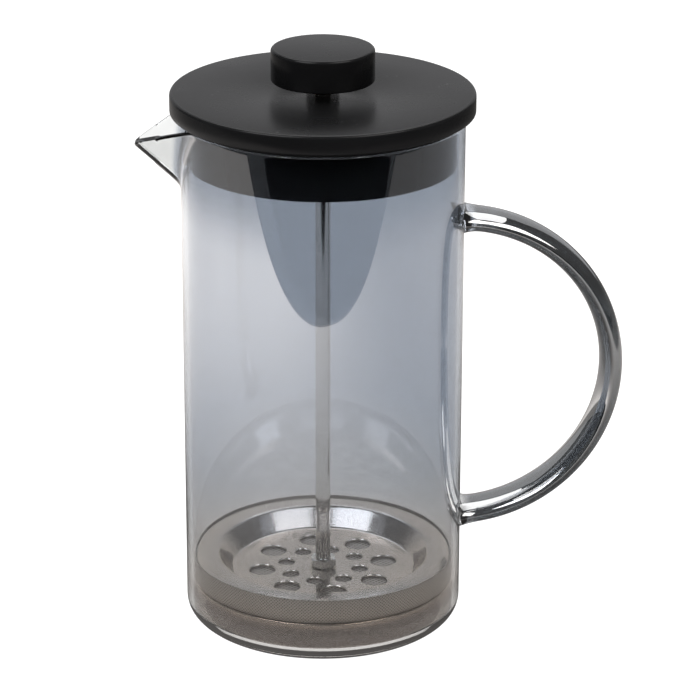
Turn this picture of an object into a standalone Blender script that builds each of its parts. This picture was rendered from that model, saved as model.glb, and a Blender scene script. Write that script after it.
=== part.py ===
"""French press: a thin glass beaker with a glass strap handle, a two-shell plastic lid,
and a steel plunger whose filter is a dished plate, a garter spring, a wire mesh and a back plate.

Frame: metres, +Z up, origin at the centre of the beaker's underside, handle towards +X,
spout towards -X. Every joint axis is the Z axis of the beaker.
"""
import math

import bmesh
import bpy
from mathutils import Matrix, Vector

# Beaker
BEAKER_RADIUS = 0.0460
BEAKER_HEIGHT = 0.1740
GLASS_WALL = 0.0020
FLOOR_THICKNESS = 0.0030
BASE_CORNER = 0.0060

# Spout: two flat flanks that meet in a keel
SPOUT_REACH = 0.0154
SPOUT_DROP = 0.0089
SPOUT_DEPTH = 0.0242
SPOUT_HALF_ANGLE = math.radians(23.2)

# Handle: an oval strap bent to an arc, flared where it is welded to the wall
HANDLE_ARC_RADIUS = 0.0520
HANDLE_CENTRE_BELOW_MIDDLE = 0.0010
HANDLE_CENTRE_IN_WALL = 0.0020
HANDLE_THICKNESS = 0.0074
HANDLE_WIDTH = 0.0165
WELD_FLARE = 0.0010
WELD_LENGTH = 0.0060

# Lid: an outer cover over an insert whose skirt hangs in the beaker
LID_OVERHANG = 0.0033
LID_HEIGHT = 0.0062
LID_ABOVE_RIM = 0.0016
LID_EDGE_FILLET = 0.0012
LID_WALL = 0.0020
INSERT_WALL = 0.0018
SKIRT_CLEARANCE = 0.0008
SKIRT_DEPTH = 0.0154
HUB_DEPTH = 0.0040
HUB_WALL = 0.0012

# Bush that guides the rod through the lid, and the push-on ring that holds it in the insert
BUSH_WALL = 0.0014
BUSH_FLANGE_WIDTH = 0.0018
BUSH_FLANGE_THICKNESS = 0.0009
BUSH_BELOW_LID_TOP = 0.0002
RETAINER_WIDTH = 0.0022
RETAINER_THICKNESS = 0.0008

# Knob and its threaded insert
KNOB_RADIUS = 0.01675
KNOB_HEIGHT = 0.0107
KNOB_ABOVE_LID = 0.0037
KNOB_TOP_FILLET = 0.0012
KNOB_FOOT_FILLET = 0.0005
KNOB_SHELL = 0.0025
KNOB_NECK_WALL = 0.0010
KNOB_INSERT_RECESS = 0.0006
KNOB_INSERT_LENGTH = 0.0090
KNOB_INSERT_WALL = 0.0012
KNOB_INSERT_CAP = 0.0008

# Rod, with the threads modelled plain at their pitch diameter
ROD_RADIUS = 0.0025
THREAD_DEPTH = 0.00026
ROD_CHAMFER = 0.0004

# Filter stack
FILTER_HEIGHT = 0.0137
MESH_CLEARANCE = 0.0006
MESH_THICKNESS = 0.00035
MESH_PROUD = 0.0005
PLATE_THICKNESS = 0.0008
DISH_RIM_WIDTH = 0.0074
DISH_SLOPE_RUN = 0.0048
DISH_DEPTH = 0.0066
DISH_FILLET = 0.0010
BACK_PLATE_LIP = 0.0010
LARGE_HOLE_RADIUS = 0.0043
SMALL_HOLE_RADIUS = 0.00275
LARGE_HOLE_EDGE = 0.0055
LARGE_HOLE_WEB = 0.0070
BACK_HOLE_RADIUS = 0.0065
BACK_HOLE_EDGE = 0.0085
BACK_HOLE_WEB = 0.0070
HOLE_PHASE = math.radians(6.0)
BOSS_WALL = 0.0020
BOSS_FLANGE_WIDTH = 0.0022
BOSS_FLANGE_THICKNESS = 0.0015
NUT_WALL = 0.0015
NUT_HEIGHT = 0.0029
NUT_CHAMFER = 0.0005
NUT_TURN = math.radians(4.0)

# Garter spring: a coil wound round a ring
SPRING_WIRE_RADIUS = 0.0004
SPRING_TURNS = 40
SPRING_POINTS_PER_TURN = 7
SPRING_WIRE_SIDES = 4

# Gaps between pieces that meet, and the fineness of round shapes
GAP = 0.0003
BIG_SEGMENTS = 48
SMALL_SEGMENTS = 24
HOLE_SEGMENTS = 12
FILLET_STEPS = 3
SPOUT_COLUMNS = 12
SPOUT_ROWS = 5
HANDLE_SECTIONS = 26
HANDLE_SIDES = 16
MERGE = 0.000001
CUT_MARGIN = 0.001

# Derived beaker and handle
INNER_RADIUS = BEAKER_RADIUS - GLASS_WALL
HANDLE_CENTRE = Vector((BEAKER_RADIUS - HANDLE_CENTRE_IN_WALL, 0.0,
                        BEAKER_HEIGHT / 2 - HANDLE_CENTRE_BELOW_MIDDLE))

# Derived lid heights
LID_BOTTOM = BEAKER_HEIGHT + LID_ABOVE_RIM
LID_TOP = LID_BOTTOM + LID_HEIGHT
LID_RADIUS = BEAKER_RADIUS + LID_OVERHANG
BUSH_BORE = ROD_RADIUS + GAP
BUSH_RADIUS = BUSH_BORE + BUSH_WALL
BUSH_HOLE = BUSH_RADIUS + GAP
DECK_TOP = LID_TOP - LID_WALL - GAP
WELL_FLOOR = DECK_TOP - RETAINER_THICKNESS - 2 * GAP
WELL_RADIUS = BUSH_HOLE + RETAINER_WIDTH + GAP
HUB_BOTTOM = DECK_TOP - INSERT_WALL - HUB_DEPTH
BUSH_TOP = LID_TOP - BUSH_BELOW_LID_TOP

# Derived plunger heights and radii
KNOB_BOTTOM = LID_TOP + KNOB_ABOVE_LID
NECK_BOTTOM = LID_TOP + GAP
THREAD_RADIUS = ROD_RADIUS - THREAD_DEPTH
THREAD_BORE = THREAD_RADIUS + GAP
KNOB_INSERT_BOTTOM = NECK_BOTTOM + KNOB_INSERT_RECESS
KNOB_INSERT_TOP = KNOB_INSERT_BOTTOM + KNOB_INSERT_LENGTH
KNOB_INSERT_RADIUS = THREAD_BORE + KNOB_INSERT_WALL
MESH_RADIUS = INNER_RADIUS - MESH_CLEARANCE
PLATE_RADIUS = MESH_RADIUS - MESH_THICKNESS - GAP
BACK_PLATE_TOP = FILTER_HEIGHT - GAP
BACK_PLATE_BOTTOM = BACK_PLATE_TOP - PLATE_THICKNESS
DISH_FLOOR = FILTER_HEIGHT + MESH_THICKNESS + GAP
DISH_TOP = DISH_FLOOR + PLATE_THICKNESS + DISH_DEPTH
DISH_EDGE_RADIUS = PLATE_RADIUS - DISH_RIM_WIDTH
DISH_FLOOR_RADIUS = DISH_EDGE_RADIUS - DISH_SLOPE_RUN
NUT_BOTTOM = DISH_FLOOR + PLATE_THICKNESS + GAP
NUT_TOP = NUT_BOTTOM + NUT_HEIGHT
NUT_FLAT_RADIUS = ROD_RADIUS + NUT_WALL
NUT_CORNER_RADIUS = NUT_FLAT_RADIUS / math.cos(math.pi / 6)
BOSS_RADIUS = THREAD_BORE + BOSS_WALL
BOSS_HOLE = BOSS_RADIUS + GAP
BOSS_BOTTOM = BACK_PLATE_BOTTOM - GAP - BOSS_FLANGE_THICKNESS


def clear_scene():
    """Remove every object that is already there."""
    for old in list(bpy.data.objects):
        bpy.data.objects.remove(old, do_unlink=True)


def finish(name, colour, roughness, metallic=0.0, transmission=0.0):
    """A plain Principled finish."""
    material = bpy.data.materials.new(name)
    material.use_nodes = True
    shader = material.node_tree.nodes["Principled BSDF"]
    shader.inputs["Base Color"].default_value = (*colour, 1.0)
    shader.inputs["Roughness"].default_value = roughness
    shader.inputs["Metallic"].default_value = metallic
    shader.inputs["Transmission Weight"].default_value = transmission
    return material


def piece_from(form, name, parent=None, material=None):
    """Turn a bmesh in beaker coordinates into a smooth-shaded object with its origin on the axis."""
    bmesh.ops.remove_doubles(form, verts=form.verts, dist=MERGE)
    bmesh.ops.recalc_face_normals(form, faces=form.faces)
    mesh = bpy.data.meshes.new(name)
    form.to_mesh(mesh)
    form.free()
    mesh.shade_smooth()
    mesh.set_sharp_from_angle(angle=math.radians(35))
    piece = bpy.data.objects.new(name, mesh)
    bpy.context.scene.collection.objects.link(piece)
    if material:
        mesh.materials.append(material)
    if parent:
        piece.parent = parent
        piece.location.z = -parent.matrix_world.translation.z
    return piece


def axis_empty(name, height, parent=None):
    """An empty on the beaker's axis that marks where a moving group sits."""
    empty = bpy.data.objects.new(name, None)
    empty.empty_display_size = 0.02
    bpy.context.scene.collection.objects.link(empty)
    if parent:
        empty.parent = parent
        height -= parent.matrix_world.translation.z
    empty.location.z = height
    bpy.context.view_layer.update()
    return empty


def outline(*corners):
    """Points of a profile from corners (r, z) or (r, z, fillet), each fillet as an arc."""
    points = []
    for index, corner in enumerate(corners):
        here = Vector(corner[:2])
        if len(corner) == 2:
            points.append(here)
            continue
        back = (Vector(corners[index - 1][:2]) - here).normalized()
        ahead = (Vector(corners[(index + 1) % len(corners)][:2]) - here).normalized()
        half_angle = back.angle(ahead) / 2
        reach = corner[2] / math.tan(half_angle)
        centre = here + (back + ahead).normalized() * corner[2] / math.sin(half_angle)
        start = (here + back * reach - centre).normalized()
        end = (here + ahead * reach - centre).normalized()
        for step in range(FILLET_STEPS + 1):
            points.append(centre + start.slerp(end, step / FILLET_STEPS) * corner[2])
    return points


def turned(name, profile, segments, parent, material):
    """A solid of revolution: a closed profile in the XZ plane, spun about the Z axis."""
    form = bmesh.new()
    rim = [form.verts.new((point[0], 0.0, point[1])) for point in profile]
    edges = []
    for here, there in zip(rim, rim[1:] + rim[:1]):
        on_axis = here.co.x < MERGE and there.co.x < MERGE
        if not on_axis:
            edges.append(form.edges.new((here, there)))
    bmesh.ops.spin(form, geom=rim + edges, axis=(0, 0, 1), cent=(0, 0, 0),
                   angle=math.tau, steps=segments, use_merge=True)
    return piece_from(form, name, parent, material)


def skin_form(columns, closed_rings):
    """A skin of quads over columns of points; closed_rings joins each column's ends."""
    form = bmesh.new()
    grid = [[form.verts.new(point) for point in column] for column in columns]
    for here, there in zip(grid, grid[1:] + grid[:1]):
        rows = len(here) if closed_rings else len(here) - 1
        for row in range(rows):
            after = (row + 1) % len(here)
            form.faces.new((here[row], there[row], there[after], here[after]))
    return form


def cut_with(piece, cutter, operation="DIFFERENCE"):
    """Cut a piece with a hidden wire-display cutter."""
    cutter.hide_render = True
    cutter.display_type = "WIRE"
    modifier = piece.modifiers.new(cutter.name, "BOOLEAN")
    modifier.operation = operation
    modifier.solver = "EXACT"
    modifier.object = cutter


def hole_cutter(name, rings, low, high, parent):
    """Upright cylinders for rings of (pitch radius, hole radius, count, phase)."""
    form = bmesh.new()
    for pitch, radius, count, phase in rings:
        for index in range(count):
            angle = phase + math.tau * index / count
            place = Matrix.Translation((pitch * math.cos(angle), pitch * math.sin(angle),
                                        (low + high) / 2))
            bmesh.ops.create_cone(form, cap_ends=True, segments=HOLE_SEGMENTS, radius1=radius,
                                  radius2=radius, depth=high - low, matrix=place)
    return piece_from(form, name, parent)


def holes_that_fit(pitch, radius, web):
    """How many holes of a radius fit round a pitch circle with a web between them."""
    return int(math.tau * pitch / (2 * radius + web))


def spout_top(angle):
    """Radius and height of the spout's straight rim edge at an angle from the spout's middle."""
    tip = Vector((BEAKER_RADIUS + SPOUT_REACH, 0.0, BEAKER_HEIGHT - SPOUT_DROP))
    root = Vector((BEAKER_RADIUS * math.cos(SPOUT_HALF_ANGLE),
                   BEAKER_RADIUS * math.sin(SPOUT_HALF_ANGLE), BEAKER_HEIGHT))
    slope = math.tan(abs(angle))
    share = tip.x * slope / (root.y - (root.x - tip.x) * slope)
    point = tip.lerp(root, share)
    return math.hypot(point.x, point.y), point.z


def flank_radius(angle, height, inset):
    """Radius of the spout's flat flank, set inwards by inset, at an angle and a height."""
    tip = Vector((BEAKER_RADIUS + SPOUT_REACH, 0.0, BEAKER_HEIGHT - SPOUT_DROP))
    root = Vector((BEAKER_RADIUS * math.cos(SPOUT_HALF_ANGLE),
                   BEAKER_RADIUS * math.sin(SPOUT_HALF_ANGLE), BEAKER_HEIGHT))
    keel = Vector((BEAKER_RADIUS, 0.0, BEAKER_HEIGHT - SPOUT_DEPTH))
    normal = (keel - tip).cross(root - tip).normalized()
    if normal.x < 0:
        normal.negate()
    level = normal.dot(tip) - inset
    lean = normal.x * math.cos(angle) + normal.y * math.sin(abs(angle))
    return (level - normal.z * height) / lean


def beaker_column(angle):
    """Profile of the beaker's wall at an angle from the spout's middle, outside then inside."""
    in_spout = abs(angle) < SPOUT_HALF_ANGLE
    top = spout_top(angle)[1] if in_spout else BEAKER_HEIGHT
    start = BEAKER_HEIGHT - SPOUT_DEPTH
    heights = [start + (top - start) * row / SPOUT_ROWS for row in range(SPOUT_ROWS + 1)]

    def wall(radius, inset):
        if not in_spout:
            return [(radius, height) for height in heights]
        return [(max(radius, flank_radius(angle, height, inset)), height) for height in heights]

    outside = outline((0.0, 0.0), (BEAKER_RADIUS, 0.0, BASE_CORNER), (BEAKER_RADIUS, start))[:-1]
    inner_corner = max(BASE_CORNER - GLASS_WALL, GLASS_WALL)
    inside = outline((INNER_RADIUS, start), (INNER_RADIUS, FLOOR_THICKNESS, inner_corner),
                     (0.0, FLOOR_THICKNESS))[1:]
    return outside + wall(BEAKER_RADIUS, 0.0) + wall(INNER_RADIUS, GLASS_WALL)[::-1] + inside


def make_beaker(parent):
    """Blown beaker with a flat base and a pinched spout, as one wall."""
    spout = [SPOUT_HALF_ANGLE * (2 * step / SPOUT_COLUMNS - 1) for step in range(SPOUT_COLUMNS + 1)]
    rest_turn = math.tau - 2 * SPOUT_HALF_ANGLE
    rest = [SPOUT_HALF_ANGLE + rest_turn * step / BIG_SEGMENTS for step in range(1, BIG_SEGMENTS)]
    columns = []
    for angle in spout + rest:
        turn = math.pi + angle
        columns.append([(point[0] * math.cos(turn), point[0] * math.sin(turn), point[1])
                        for point in beaker_column(angle)])
    material = finish("beaker_glass", (0.62, 0.66, 0.70), 0.03, transmission=1.0)
    return piece_from(skin_form(columns, closed_rings=False), "beaker", parent, material)


def handle_section(turn, flare):
    """Oval ring across the strap, at a turn about the arc's centre."""
    out = Vector((math.cos(turn), 0.0, math.sin(turn)))
    middle = HANDLE_CENTRE + out * HANDLE_ARC_RADIUS
    ring = []
    for side in range(HANDLE_SIDES):
        angle = math.tau * side / HANDLE_SIDES
        across = (HANDLE_WIDTH / 2 + flare) * math.sin(angle)
        ring.append(middle + out * (HANDLE_THICKNESS / 2 + flare) * math.cos(angle)
                    + Vector((0.0, across, 0.0)))
    return ring


def close_end(form, ring):
    """Close an oval ring with strips across its thickness, so the end follows the wall."""
    half = len(ring) // 2
    for side in range(-half // 2, half // 2):
        strip = [ring[side], ring[side + 1], ring[half - side - 1],
                 ring[(half - side) % len(ring)]]
        form.faces.new(list(dict.fromkeys(strip)))


def make_handle(parent):
    """Glass strap from weld to weld, with its ends shaped to the beaker's wall."""
    seat = BEAKER_RADIUS + GAP
    reach = math.acos((seat - HANDLE_CENTRE.x) / HANDLE_ARC_RADIUS)
    columns = []
    for step in range(HANDLE_SECTIONS + 1):
        turn = reach * (2 * step / HANDLE_SECTIONS - 1)
        from_weld = (reach - abs(turn)) * HANDLE_ARC_RADIUS
        flare = WELD_FLARE * max(0.0, 1.0 - from_weld / WELD_LENGTH) ** 2
        columns.append(handle_section(turn, flare))
    for ring in (columns[0], columns[-1]):
        for point in ring:
            point.x = math.sqrt(seat ** 2 - point.y ** 2)
    form = bmesh.new()
    rings = [[form.verts.new(point) for point in column] for column in columns]
    for here, there in zip(rings, rings[1:]):
        for side in range(HANDLE_SIDES):
            after = (side + 1) % HANDLE_SIDES
            form.faces.new((here[side], there[side], there[after], here[after]))
    close_end(form, rings[0])
    close_end(form, rings[-1])
    material = finish("handle_glass", (0.55, 0.58, 0.62), 0.03, transmission=1.0)
    return piece_from(form, "handle", parent, material)


def make_lid_cover(parent):
    """Outer shell of the lid: a shallow round cap with a hole for the bush."""
    roof = LID_TOP - LID_WALL
    profile = outline((BUSH_HOLE, roof), (BUSH_HOLE, LID_TOP),
                      (LID_RADIUS, LID_TOP, LID_EDGE_FILLET), (LID_RADIUS, LID_BOTTOM),
                      (LID_RADIUS - LID_WALL, LID_BOTTOM), (LID_RADIUS - LID_WALL, roof))
    return turned("lid_cover", profile, BIG_SEGMENTS, parent,
                  finish("lid_cover_plastic", (0.018, 0.018, 0.019), 0.42))


def make_lid_insert(parent):
    """Inner shell: a deck with a hub, a skirt that hangs in the beaker, a flange over its rim."""
    skirt = INNER_RADIUS - SKIRT_CLEARANCE
    flange = LID_RADIUS - LID_WALL - GAP
    flange_bottom = BEAKER_HEIGHT + GAP
    flange_top = flange_bottom + INSERT_WALL
    deck_bottom = DECK_TOP - INSERT_WALL
    skirt_bottom = BEAKER_HEIGHT - SKIRT_DEPTH
    hub = WELL_RADIUS + HUB_WALL
    profile = outline((BUSH_HOLE, HUB_BOTTOM), (hub, HUB_BOTTOM), (hub, deck_bottom),
                      (skirt - INSERT_WALL, deck_bottom), (skirt - INSERT_WALL, skirt_bottom),
                      (skirt, skirt_bottom), (skirt, flange_bottom), (flange, flange_bottom),
                      (flange, flange_top), (skirt, flange_top), (skirt, DECK_TOP),
                      (WELL_RADIUS, DECK_TOP), (WELL_RADIUS, WELL_FLOOR), (BUSH_HOLE, WELL_FLOOR))
    return turned("lid_insert", profile, BIG_SEGMENTS, parent,
                  finish("lid_insert_plastic", (0.014, 0.014, 0.015), 0.35))


def make_rod_bush(parent):
    """Flanged steel bush that guides the rod; its flange sits under the insert's hub."""
    flange = BUSH_HOLE + BUSH_FLANGE_WIDTH
    flange_top = HUB_BOTTOM - GAP
    bottom = flange_top - BUSH_FLANGE_THICKNESS
    profile = outline((BUSH_BORE, bottom), (flange, bottom), (flange, flange_top),
                      (BUSH_RADIUS, flange_top), (BUSH_RADIUS, BUSH_TOP), (BUSH_BORE, BUSH_TOP))
    return turned("rod_bush", profile, SMALL_SEGMENTS, parent,
                  finish("rod_bush_steel", (0.62, 0.61, 0.59), 0.28, metallic=1.0))


def make_bush_retainer(parent):
    """Push-on ring in the well of the insert's deck that keeps the bush in the lid."""
    bottom = WELL_FLOOR + GAP
    top = bottom + RETAINER_THICKNESS
    inner = BUSH_HOLE
    outer = inner + RETAINER_WIDTH
    profile = outline((inner, bottom), (outer, bottom), (outer, top), (inner, top))
    return turned("bush_retainer", profile, SMALL_SEGMENTS, parent,
                  finish("bush_retainer_steel", (0.50, 0.50, 0.50), 0.35, metallic=1.0))


def make_rod(parent):
    """Plunger rod, reduced at both ends where it is threaded."""
    low_end = BOSS_BOTTOM + GAP
    high_end = KNOB_INSERT_TOP - KNOB_INSERT_CAP - GAP
    low_shoulder = NUT_TOP + GAP
    high_shoulder = KNOB_INSERT_BOTTOM - GAP
    profile = outline((0.0, low_end), (THREAD_RADIUS - ROD_CHAMFER, low_end),
                      (THREAD_RADIUS, low_end + ROD_CHAMFER), (THREAD_RADIUS, low_shoulder),
                      (ROD_RADIUS, low_shoulder), (ROD_RADIUS, high_shoulder),
                      (THREAD_RADIUS, high_shoulder), (THREAD_RADIUS, high_end - ROD_CHAMFER),
                      (THREAD_RADIUS - ROD_CHAMFER, high_end), (0.0, high_end))
    return turned("rod", profile, SMALL_SEGMENTS, parent,
                  finish("rod_steel", (0.60, 0.58, 0.55), 0.18, metallic=1.0))


def make_knob(parent):
    """Round plastic knob, hollow underneath, with a neck that rests on the lid."""
    top = KNOB_BOTTOM + KNOB_HEIGHT
    pocket = KNOB_INSERT_RADIUS + GAP
    pocket_top = KNOB_INSERT_TOP + GAP
    neck = pocket + KNOB_NECK_WALL
    hollow_top = top - KNOB_SHELL
    shell = KNOB_RADIUS - KNOB_SHELL
    profile = outline((0.0, pocket_top), (pocket, pocket_top), (pocket, NECK_BOTTOM),
                      (neck, NECK_BOTTOM), (neck, hollow_top), (shell, hollow_top),
                      (shell, KNOB_BOTTOM), (KNOB_RADIUS, KNOB_BOTTOM, KNOB_FOOT_FILLET),
                      (KNOB_RADIUS, top, KNOB_TOP_FILLET), (0.0, top))
    return turned("knob", profile, BIG_SEGMENTS, parent,
                  finish("knob_plastic", (0.018, 0.018, 0.019), 0.42))


def make_knob_insert(parent):
    """Brass insert moulded into the knob, with a blind threaded hole."""
    bore_top = KNOB_INSERT_TOP - KNOB_INSERT_CAP
    profile = outline((0.0, bore_top), (THREAD_BORE, bore_top), (THREAD_BORE, KNOB_INSERT_BOTTOM),
                      (KNOB_INSERT_RADIUS, KNOB_INSERT_BOTTOM),
                      (KNOB_INSERT_RADIUS, KNOB_INSERT_TOP), (0.0, KNOB_INSERT_TOP))
    return turned("knob_insert", profile, SMALL_SEGMENTS, parent,
                  finish("knob_insert_brass", (0.72, 0.52, 0.24), 0.30, metallic=1.0))


def make_upper_plate(parent):
    """Dished and perforated pressure plate with a flat rim over the spring."""
    floor_top = DISH_FLOOR + PLATE_THICKNESS
    rim_bottom = DISH_TOP - PLATE_THICKNESS
    lean = math.atan2(DISH_SLOPE_RUN, DISH_DEPTH)
    shift = PLATE_THICKNESS * math.tan((math.pi / 2 - lean) / 2)
    profile = outline((THREAD_BORE, DISH_FLOOR),
                      (DISH_FLOOR_RADIUS + shift, DISH_FLOOR, DISH_FILLET),
                      (DISH_EDGE_RADIUS + shift, rim_bottom), (PLATE_RADIUS, rim_bottom),
                      (PLATE_RADIUS, DISH_TOP), (DISH_EDGE_RADIUS, DISH_TOP, DISH_FILLET),
                      (DISH_FLOOR_RADIUS, floor_top), (THREAD_BORE, floor_top))
    plate = turned("upper_plate", profile, BIG_SEGMENTS, parent,
                   finish("upper_plate_steel", (0.60, 0.57, 0.54), 0.25, metallic=1.0))
    pitch = DISH_FLOOR_RADIUS - LARGE_HOLE_EDGE - LARGE_HOLE_RADIUS
    count = holes_that_fit(pitch, LARGE_HOLE_RADIUS, LARGE_HOLE_WEB)
    between = HOLE_PHASE + math.pi / count
    rings = [(pitch, LARGE_HOLE_RADIUS, count, HOLE_PHASE),
             ((pitch + NUT_CORNER_RADIUS) / 2, SMALL_HOLE_RADIUS, count, between)]
    cut_with(plate, hole_cutter("upper_plate_holes", rings, DISH_FLOOR - CUT_MARGIN,
                                floor_top + CUT_MARGIN, parent))
    return plate


def make_lower_plate(parent):
    """Flat back plate with a turned-down lip and one ring of large holes."""
    lip = BACK_PLATE_BOTTOM - BACK_PLATE_LIP
    inner = PLATE_RADIUS - PLATE_THICKNESS
    profile = outline((BOSS_HOLE, BACK_PLATE_BOTTOM), (inner, BACK_PLATE_BOTTOM), (inner, lip),
                      (PLATE_RADIUS, lip), (PLATE_RADIUS, BACK_PLATE_TOP, PLATE_THICKNESS),
                      (BOSS_HOLE, BACK_PLATE_TOP))
    plate = turned("lower_plate", profile, BIG_SEGMENTS, parent,
                   finish("lower_plate_steel", (0.58, 0.55, 0.52), 0.28, metallic=1.0))
    outer_pitch = PLATE_RADIUS - BACK_HOLE_EDGE - BACK_HOLE_RADIUS
    outer_count = holes_that_fit(outer_pitch, BACK_HOLE_RADIUS, BACK_HOLE_WEB)
    inner_pitch = outer_pitch - 2 * BACK_HOLE_RADIUS
    inner_count = holes_that_fit(inner_pitch, SMALL_HOLE_RADIUS, BACK_HOLE_WEB)
    rings = [(outer_pitch, BACK_HOLE_RADIUS, outer_count, HOLE_PHASE),
             (inner_pitch, SMALL_HOLE_RADIUS, inner_count, HOLE_PHASE)]
    cut_with(plate, hole_cutter("lower_plate_holes", rings, BACK_PLATE_BOTTOM - CUT_MARGIN,
                                BACK_PLATE_TOP + CUT_MARGIN, parent))
    return plate


def make_mesh_screen(parent):
    """Wire mesh pressed to a shallow cup that wraps the spring's outside."""
    inner = MESH_RADIUS - MESH_THICKNESS
    top = DISH_TOP + MESH_PROUD
    fold = 4 * MESH_THICKNESS
    profile = outline((BOSS_HOLE, FILTER_HEIGHT), (MESH_RADIUS, FILTER_HEIGHT, fold),
                      (MESH_RADIUS, top), (inner, top),
                      (inner, FILTER_HEIGHT + MESH_THICKNESS, fold - MESH_THICKNESS),
                      (BOSS_HOLE, FILTER_HEIGHT + MESH_THICKNESS))
    return turned("mesh_screen", profile, BIG_SEGMENTS, parent,
                  finish("mesh_screen_steel", (0.42, 0.40, 0.38), 0.45, metallic=1.0))


def make_spring_coil(parent):
    """Garter spring that presses the mesh outwards against the glass."""
    low = FILTER_HEIGHT + MESH_THICKNESS + GAP
    high = DISH_TOP - PLATE_THICKNESS - GAP
    coil = (high - low) / 2 - SPRING_WIRE_RADIUS
    ring = MESH_RADIUS - MESH_THICKNESS - GAP - SPRING_WIRE_RADIUS - coil
    middle = (low + high) / 2
    count = SPRING_TURNS * SPRING_POINTS_PER_TURN

    def centre_line(step):
        around = math.tau * step / count
        twist = math.tau * step / SPRING_POINTS_PER_TURN
        radius = ring + coil * math.cos(twist)
        return Vector((radius * math.cos(around), radius * math.sin(around),
                       middle + coil * math.sin(twist)))

    columns = []
    for step in range(count):
        here = centre_line(step)
        along = (centre_line(step + 1) - centre_line(step - 1)).normalized()
        around = math.tau * step / count
        hub = Vector((ring * math.cos(around), ring * math.sin(around), middle))
        out = here - hub
        out = (out - along * out.dot(along)).normalized()
        side = along.cross(out)
        columns.append([here + SPRING_WIRE_RADIUS * (out * math.cos(a) + side * math.sin(a))
                        for a in (math.tau * k / SPRING_WIRE_SIDES
                                  for k in range(SPRING_WIRE_SIDES))])
    return piece_from(skin_form(columns, closed_rings=True), "spring_coil", parent,
                      finish("spring_coil_steel", (0.55, 0.54, 0.52), 0.30, metallic=1.0))


def make_threaded_boss(parent):
    """Flanged boss riveted in the back plate; the rod screws into it."""
    flange = BOSS_HOLE + BOSS_FLANGE_WIDTH
    flange_top = BACK_PLATE_BOTTOM - GAP
    barrel_top = DISH_FLOOR - GAP
    profile = outline((THREAD_BORE, BOSS_BOTTOM), (flange, BOSS_BOTTOM), (flange, flange_top),
                      (BOSS_RADIUS, flange_top), (BOSS_RADIUS, barrel_top),
                      (THREAD_BORE, barrel_top))
    return turned("threaded_boss", profile, SMALL_SEGMENTS, parent,
                  finish("threaded_boss_steel", (0.56, 0.55, 0.53), 0.30, metallic=1.0))


def make_lock_nut(parent):
    """Thin hexagon nut that locks the upper plate against the boss."""
    blank = NUT_CORNER_RADIUS
    flat = NUT_FLAT_RADIUS
    profile = outline((THREAD_BORE, NUT_BOTTOM), (flat, NUT_BOTTOM),
                      (blank, NUT_BOTTOM + NUT_CHAMFER), (blank, NUT_TOP - NUT_CHAMFER),
                      (flat, NUT_TOP), (THREAD_BORE, NUT_TOP))
    nut = turned("lock_nut", profile, SMALL_SEGMENTS, parent,
                 finish("lock_nut_steel", (0.66, 0.65, 0.62), 0.22, metallic=1.0))
    form = bmesh.new()
    place = Matrix.Translation((0, 0, (NUT_BOTTOM + NUT_TOP) / 2)) @ Matrix.Rotation(NUT_TURN, 4, "Z")
    bmesh.ops.create_cone(form, cap_ends=True, segments=6, radius1=NUT_CORNER_RADIUS,
                          radius2=NUT_CORNER_RADIUS, depth=NUT_HEIGHT + 2 * CUT_MARGIN,
                          matrix=place)
    cut_with(nut, piece_from(form, "lock_nut_hexagon", parent), "INTERSECT")
    return nut


def build():
    """Make every piece, grouped under the empty of the body that it moves with."""
    clear_scene()
    root = axis_empty("beaker_group", 0.0)
    make_beaker(root)
    make_handle(root)
    lid = axis_empty("lid_group", BEAKER_HEIGHT, root)
    make_lid_cover(lid)
    make_lid_insert(lid)
    make_rod_bush(lid)
    make_bush_retainer(lid)
    plunger = axis_empty("plunger_group", KNOB_BOTTOM, lid)
    make_rod(plunger)
    make_knob(plunger)
    make_knob_insert(plunger)
    strainer = axis_empty("filter_group", FILTER_HEIGHT, plunger)
    make_upper_plate(strainer)
    make_lower_plate(strainer)
    make_mesh_screen(strainer)
    make_spring_coil(strainer)
    make_threaded_boss(strainer)
    make_lock_nut(strainer)


build()
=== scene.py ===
# %% [markdown]
# # A glass coffee press, piece by piece
#
# This lesson dresses a finished engineering model of a coffee press in the look of the real one.
# The model's sizes are the truth, so every piece here is made to them. They are repeated here as
# named values, in mm unless MM is in the sum. Each step says what the piece is, how it could be
# made, and why it is made this way.

import math

import bmesh
import bpy
from mathutils import Matrix, Vector


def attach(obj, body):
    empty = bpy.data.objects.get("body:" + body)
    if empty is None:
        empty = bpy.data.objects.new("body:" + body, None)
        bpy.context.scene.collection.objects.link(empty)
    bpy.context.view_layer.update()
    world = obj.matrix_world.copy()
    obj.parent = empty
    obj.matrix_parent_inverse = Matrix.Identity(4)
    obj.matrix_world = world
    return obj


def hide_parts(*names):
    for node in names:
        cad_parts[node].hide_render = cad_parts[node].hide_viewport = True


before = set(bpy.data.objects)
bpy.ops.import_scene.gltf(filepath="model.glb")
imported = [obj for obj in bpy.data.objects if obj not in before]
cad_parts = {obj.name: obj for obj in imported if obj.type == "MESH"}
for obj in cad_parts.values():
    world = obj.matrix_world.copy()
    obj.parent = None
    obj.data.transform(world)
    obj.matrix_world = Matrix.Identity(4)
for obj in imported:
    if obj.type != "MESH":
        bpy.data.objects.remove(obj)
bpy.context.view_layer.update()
MM = 0.001

# %% [markdown]
# ## The studio
#
# The press stands on a pale sweep under soft light. A long lens keeps its sides nearly parallel.
# Glass shows its surroundings more than itself, so the studio is planned like a mirror's view.
# Reflections see a table of light round the press, and nothing past its curved front edge. That
# edge draws the dark tongue that hangs in the middle of the beaker. Such cards are hidden from the
# camera, as a photographer's cards stand just out of the picture, and the floor that the camera
# sees is hidden from reflections.

# %% Place the camera
LENS = 169.54
DOWN = 0.3668
TURN = math.radians(-4.0) - 0.0088
ROLL = 0.0028
EYE = (-70.9 * MM, -1013.7 * MM, 483.2 * MM)

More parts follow.
